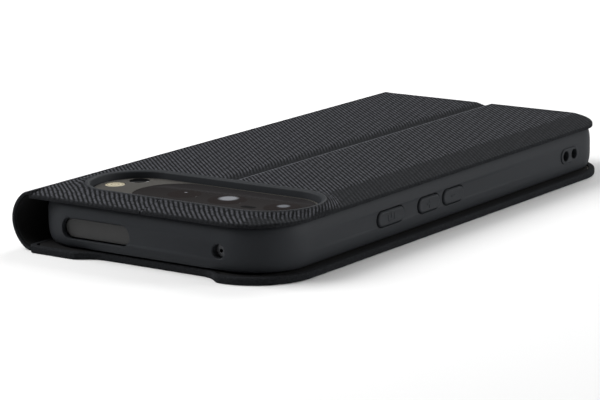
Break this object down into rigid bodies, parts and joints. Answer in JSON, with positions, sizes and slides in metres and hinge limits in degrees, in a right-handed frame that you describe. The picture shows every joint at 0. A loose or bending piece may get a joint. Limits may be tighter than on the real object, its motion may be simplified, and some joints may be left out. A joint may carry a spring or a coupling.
{
  "type": "smartphone in a folio stand case",
  "caption": "Smartphone in a closed textile folio case with hinged front cover, rounded spine, stand crease, soft tray, side buttons and a pill-shaped camera opening.",
  "frame": {"origin": "centre of the closed outline, on the underside of the front cover", "axes": "+Y along the phone towards its charging end, +X towards the side buttons with the spine on -X, +Z out of the phone's back"},
  "size_m": [0.0808, 0.16, 0.0156],
  "materials": {
    "twill": "black-grey twill weave",
    "microfibre": "fine matt nap",
    "stiffener": "plain sheet",
    "soft_tray": "soft matt elastomer",
    "magnet": "plated",
    "phone_metal": "satin anodised",
    "visor_metal": "satin warm grey",
    "dark_glass": "polished",
    "lens": "coated",
    "flash_cream": "moulded lens",
    "antenna_plastic": "fine matt",
    "alloy": "milled",
    "battery_cell": "black wrap",
    "circuit_board": "solder mask",
    "copper": "bare",
    "steel": "plain",
    "black_plastic": "moulded"
  },
  "bodies": {
    "phone_and_tray": {"back_panel_outer": "twill", "back_panel_lining": "microfibre", "back_panel_board": "stiffener", "tray_shell": "soft_tray", "phone_frame": "phone_metal", "camera_bar": "visor_metal", "cover_glass": "dark_glass", "back_glass": "dark_glass", "camera_glass": "dark_glass", "display_panel": "dark_glass", "main_camera": "lens", "ultrawide_camera": "lens", "telephoto_camera": "lens", "temperature_sensor": "lens", "autofocus_sensor": "lens", "front_camera": "lens", "fingerprint_sensor": "lens", "flash_lens": "flash_cream", "antenna_window": "antenna_plastic", "midplate": "alloy", "battery": "battery_cell", "main_board": "circuit_board", "sub_board": "circuit_board", "charging_coil": "copper", "battery_flex": "copper", "button_flex": "copper", "board_shield": "steel", "board_screw_left": "steel", "board_screw_right": "steel", "top_microphone": "steel", "usb_c_port": "steel", "sim_reader": "steel", "vibration_motor": "steel", "earpiece": "black_plastic", "loudspeaker": "black_plastic"},
    "stand_leaf": {"stand_leaf_outer": "twill", "stand_leaf_board": "stiffener", "stand_leaf_lining": "microfibre"},
    "spine": {"spine_outer": "twill", "spine_lining": "microfibre"},
    "front_cover": {"front_cover_outer": "twill", "front_cover_board": "stiffener", "front_cover_lining": "microfibre", "cover_magnet_near": "magnet", "cover_magnet_far": "magnet"},
    "power_button": {"power_pad": "soft_tray", "power_key": "phone_metal"},
    "volume_rocker": {"volume_up_pad": "soft_tray", "volume_down_pad": "soft_tray", "volume_key": "phone_metal"},
    "sim_drawer": {"sim_tray": "phone_metal"}
  },
  "joints": [
    {"name": "stand_crease", "type": "hinge", "parent": "phone_and_tray", "child": "stand_leaf", "pos_m": [0.00025, 0, 0.01395], "axis": [0, 1, 0], "range_deg": [0, 10.5]},
    {"name": "spine_hinge", "type": "hinge", "parent": "stand_leaf", "child": "spine", "pos_m": [-0.0346, 0, 0.01485], "axis": [0, 1, 0], "range_deg": [0, 170]},
    {"name": "cover_hinge", "type": "hinge", "parent": "spine", "child": "front_cover", "pos_m": [-0.0346, 0, -0.00005], "axis": [0, 1, 0], "range_deg": [0, 170]},
    {"name": "power_press", "type": "slide", "parent": "phone_and_tray", "child": "power_button", "axis": [-1, 0, 0], "range_m": [0, 0.0003], "stiffness_N_per_m": 800},
    {"name": "volume_rock", "type": "hinge", "parent": "phone_and_tray", "child": "volume_rocker", "pos_m": [0.03595, -0.00615, 0.0076], "axis": [0, 0, 1], "range_deg": [-1.8, 1.8], "stiffness_Nm_per_rad": 0.1},
    {"name": "sim_slide", "type": "slide", "parent": "phone_and_tray", "child": "sim_drawer", "axis": [0, 1, 0], "range_m": [0, 0.018]}
  ],
  "couplings": [
    {"joint": "stand_crease", "follows": "spine_hinge", "ratio": 0.06}
  ]
}
